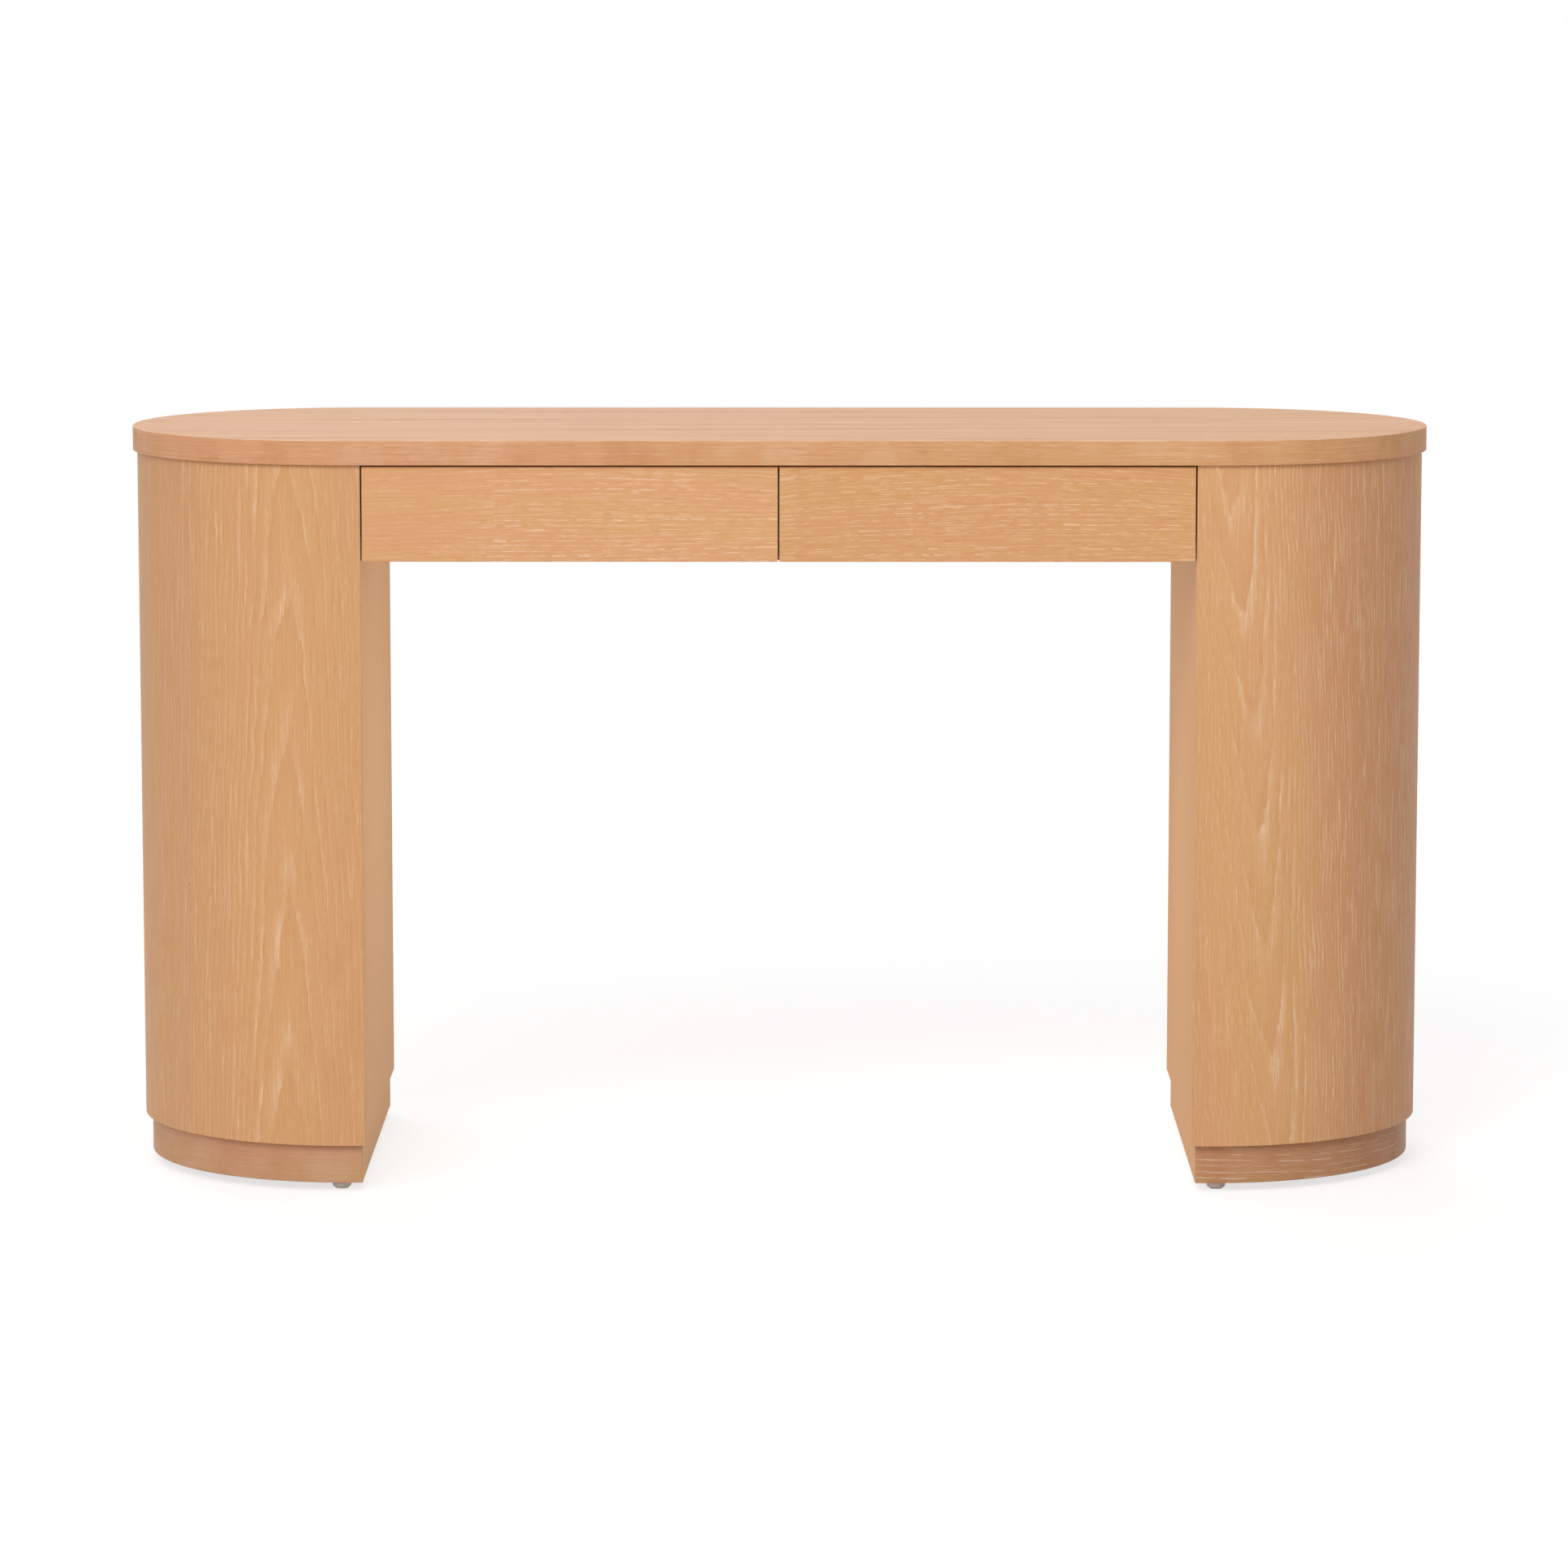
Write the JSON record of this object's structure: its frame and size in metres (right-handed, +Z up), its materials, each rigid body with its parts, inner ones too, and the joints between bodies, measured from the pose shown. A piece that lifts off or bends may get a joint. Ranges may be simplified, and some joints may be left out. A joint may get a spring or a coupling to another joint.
{
  "type": "writing desk",
  "caption": "Writing desk with a half-round-ended top on D-shaped veneered pedestals, with handleless drawers between them.",
  "frame": {"origin": "on the floor, under the middle of the desk", "axes": "+X along the desk to the right of the person sitting at it, +Y from the front to the back, +Z up"},
  "size_m": [1.3298, 0.45, 0.762],
  "materials": {
    "oak_veneer": "satin lacquered light oak veneer",
    "oak_veneer_edge": "satin lacquered light oak veneer, grain along the edge",
    "carcass_board": "raw veneered board",
    "drawer_box": "clear lacquered birch plywood",
    "dowel_beech": "raw beech",
    "slide_steel": "zinc plated",
    "ball_steel": "polished",
    "screw_steel": "zinc plated",
    "glide_nylon": "matt moulded nylon",
    "bumper_rubber": "soft clear rubber"
  },
  "bodies": {
    "desk": {"centre_divider": "carcass_board", "desktop": "oak_veneer", "divider_screws": "screw_steel", "drawer_bumpers": "bumper_rubber", "frame_dowels": "dowel_beech", "front_stretcher": "carcass_board", "glide_screws": "screw_steel", "left_bottom_board": "carcass_board", "left_curved_skin": "oak_veneer", "left_drawer_outer_rails": "slide_steel", "left_glides": "glide_nylon", "left_inner_panel": "oak_veneer", "left_middle_rib": "carcass_board", "left_plinth_blocks": "carcass_board", "left_plinth_rail": "oak_veneer_edge", "left_plinth_skin": "oak_veneer_edge", "left_top_board": "carcass_board", "outer_rail_screws": "screw_steel", "plinth_screws": "screw_steel", "rear_apron": "oak_veneer", "rear_stretcher": "carcass_board", "right_bottom_board": "carcass_board", "right_curved_skin": "oak_veneer", "right_drawer_outer_rails": "slide_steel", "right_glides": "glide_nylon", "right_inner_panel": "oak_veneer", "right_middle_rib": "carcass_board", "right_plinth_blocks": "carcass_board", "right_plinth_rail": "oak_veneer_edge", "right_plinth_skin": "oak_veneer_edge", "right_top_board": "carcass_board", "top_screws": "screw_steel"},
    "left_drawer": {"left_drawer_front": "oak_veneer", "left_drawer_box_front": "drawer_box", "left_drawer_left_side": "drawer_box", "left_drawer_right_side": "drawer_box", "left_drawer_box_back": "drawer_box", "left_drawer_bottom": "drawer_box", "left_drawer_inner_rails": "slide_steel", "left_drawer_rail_screws": "screw_steel", "left_drawer_front_screws": "screw_steel"},
    "left_middle_rails": {"left_drawer_middle_rails": "slide_steel"},
    "left_outer_cages": {"left_drawer_outer_ball_cages": "ball_steel"},
    "left_inner_cages": {"left_drawer_inner_ball_cages": "ball_steel"},
    "right_drawer": {"right_drawer_front": "oak_veneer", "right_drawer_box_front": "drawer_box", "right_drawer_left_side": "drawer_box", "right_drawer_right_side": "drawer_box", "right_drawer_box_back": "drawer_box", "right_drawer_bottom": "drawer_box", "right_drawer_inner_rails": "slide_steel", "right_drawer_rail_screws": "screw_steel", "right_drawer_front_screws": "screw_steel"},
    "right_middle_rails": {"right_drawer_middle_rails": "slide_steel"},
    "right_outer_cages": {"right_drawer_outer_ball_cages": "ball_steel"},
    "right_inner_cages": {"right_drawer_inner_ball_cages": "ball_steel"}
  },
  "joints": [
    {"name": "left_drawer_slide", "type": "slide", "parent": "desk", "child": "left_drawer", "axis": [0, -1, 0], "range_m": [0, 0.35]},
    {"name": "left_outer_cages_slide", "type": "slide", "parent": "desk", "child": "left_outer_cages", "axis": [0, -1, 0], "range_m": [0, 0.0875]},
    {"name": "left_middle_rails_slide", "type": "slide", "parent": "desk", "child": "left_middle_rails", "axis": [0, -1, 0], "range_m": [0, 0.175]},
    {"name": "left_inner_cages_slide", "type": "slide", "parent": "desk", "child": "left_inner_cages", "axis": [0, -1, 0], "range_m": [0, 0.2625]},
    {"name": "right_drawer_slide", "type": "slide", "parent": "desk", "child": "right_drawer", "axis": [0, -1, 0], "range_m": [0, 0.35]},
    {"name": "right_outer_cages_slide", "type": "slide", "parent": "desk", "child": "right_outer_cages", "axis": [0, -1, 0], "range_m": [0, 0.0875]},
    {"name": "right_middle_rails_slide", "type": "slide", "parent": "desk", "child": "right_middle_rails", "axis": [0, -1, 0], "range_m": [0, 0.175]},
    {"name": "right_inner_cages_slide", "type": "slide", "parent": "desk", "child": "right_inner_cages", "axis": [0, -1, 0], "range_m": [0, 0.2625]}
  ],
  "couplings": [
    {"joint": "left_outer_cages_slide", "follows": "left_drawer_slide", "ratio": 0.25},
    {"joint": "left_middle_rails_slide", "follows": "left_drawer_slide", "ratio": 0.5},
    {"joint": "left_inner_cages_slide", "follows": "left_drawer_slide", "ratio": 0.75},
    {"joint": "right_outer_cages_slide", "follows": "right_drawer_slide", "ratio": 0.25},
    {"joint": "right_middle_rails_slide", "follows": "right_drawer_slide", "ratio": 0.5},
    {"joint": "right_inner_cages_slide", "follows": "right_drawer_slide", "ratio": 0.75}
  ]
}
